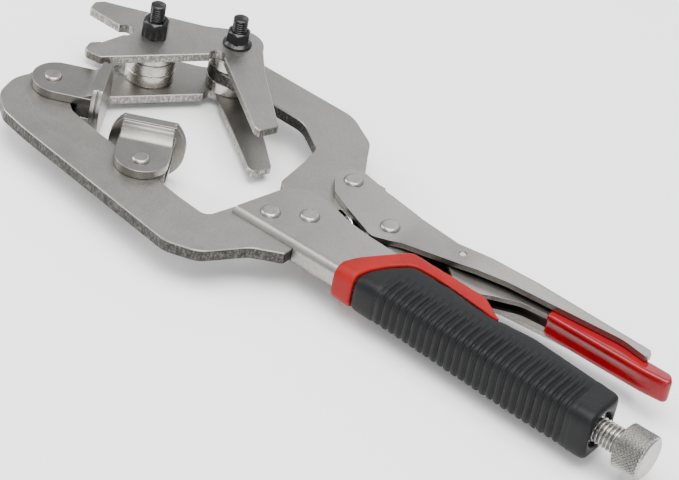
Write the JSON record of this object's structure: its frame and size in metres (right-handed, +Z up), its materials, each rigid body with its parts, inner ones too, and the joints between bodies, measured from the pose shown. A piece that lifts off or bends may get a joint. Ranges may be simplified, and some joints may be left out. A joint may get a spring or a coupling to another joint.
{
  "type": "locking pliers",
  "caption": "Locking pliers with a swivelling V-mouthed jaw on the upper arm, swivel pads on the lower arm, toggle lever with quick release, ribbed rubber grip and adjusting screw.",
  "frame": {"origin": "under the middle of the tool lying flat, at the height of the underside of the jaw bolt heads", "axes": "+X along the handle towards the adjusting knob, +Y from the lower arm to the upper arm and lever, +Z up out of the plane of the arms"},
  "size_m": [0.2896, 0.116, 0.0391],
  "materials": {
    "nickel_steel": "satin nickel plate over forged and folded steel",
    "turned_steel": "turned, satin",
    "bright_plate": "bright zinc plate",
    "spring_wire": "drawn wire",
    "black_oxide": "black oxide, slightly oily",
    "grip_rubber": "matte moulded rubber with ribs",
    "band_rubber": "satin moulded rubber",
    "sleeve_vinyl": "glossy dipped vinyl"
  },
  "bodies": {
    "handle": {"handle_channel": "nickel_steel", "fixed_arm": "nickel_steel", "body_rivets": "turned_steel", "screw_bushing": "turned_steel", "tension_spring": "spring_wire", "spring_pin": "turned_steel", "grip_body": "grip_rubber", "grip_band": "band_rubber", "pad_rivets": "turned_steel"},
    "upper_arm": {"moving_arm": "nickel_steel"},
    "main_lever": {"lever": "nickel_steel", "lever_rivets": "turned_steel", "release_pin": "turned_steel"},
    "link": {"toggle_link": "nickel_steel"},
    "release": {"release_lever": "nickel_steel", "release_sleeve": "sleeve_vinyl"},
    "screw_thrust": {"thrust_tip": "turned_steel"},
    "screw_and_knob": {"adjusting_screw": "bright_plate", "knurled_knob": "bright_plate"},
    "tip_swivel": {"tip_pad": "nickel_steel"},
    "mid_swivel": {"mid_pad": "nickel_steel"},
    "jaw": {"upper_jaw_plate": "nickel_steel", "lower_jaw_plate": "nickel_steel", "spacer_discs": "turned_steel", "pivot_washers": "turned_steel", "jaw_bolts": "black_oxide", "pivot_flange_nut": "black_oxide", "spacer_nut": "black_oxide"}
  },
  "joints": [
    {"name": "arm_swing", "type": "hinge", "parent": "handle", "child": "upper_arm", "pos_m": [-0.01024, -0.01008, 0.0145], "axis": [0, 0, 1], "range_deg": [-11.4, 0]},
    {"name": "lever_swing", "type": "hinge", "parent": "upper_arm", "child": "main_lever", "pos_m": [-0.01274, 0.01943, 0.0145], "axis": [0, 0, 1], "range_deg": [0, 41.4]},
    {"name": "link_swing", "type": "hinge", "parent": "main_lever", "child": "link", "pos_m": [0.01276, 0.00732, 0.0145], "axis": [0, 0, 1], "range_deg": [-42.9, 0]},
    {"name": "release_pull", "type": "hinge", "parent": "main_lever", "child": "release", "pos_m": [0.04096, 0.01252, 0.0145], "axis": [0, 0, 1], "range_deg": [-7, 0]},
    {"name": "screw_travel", "type": "slide", "parent": "handle", "child": "screw_thrust", "axis": [1, 0, 0], "range_m": [0, 0.012]},
    {"name": "knob_spin", "type": "hinge", "parent": "screw_thrust", "child": "screw_and_knob", "pos_m": [0.07976, -0.02328, 0.0145], "axis": [1, 0, 0], "range_deg": [0, 2882]},
    {"name": "tip_pad_swivel", "type": "hinge", "parent": "handle", "child": "tip_swivel", "pos_m": [-0.12624, -0.01707, 0.0145], "axis": [0, 0, 1], "range_deg": [-9, 0]},
    {"name": "mid_pad_swivel", "type": "hinge", "parent": "handle", "child": "mid_swivel", "pos_m": [-0.07124, -0.03168, 0.0145], "axis": [0, 0, 1], "range_deg": [-16, 6]},
    {"name": "jaw_swivel", "type": "hinge", "parent": "upper_arm", "child": "jaw", "pos_m": [-0.09144, 0.04782, 0.0145], "axis": [0, 0, 1], "range_deg": [-45, 0]}
  ],
  "couplings": [
    {"joint": "lever_swing", "follows": "arm_swing", "ratio": -3.63},
    {"joint": "link_swing", "follows": "arm_swing", "ratio": 3.76},
    {"joint": "knob_spin", "follows": "screw_travel", "rad_per_m": 4188.8}
  ]
}
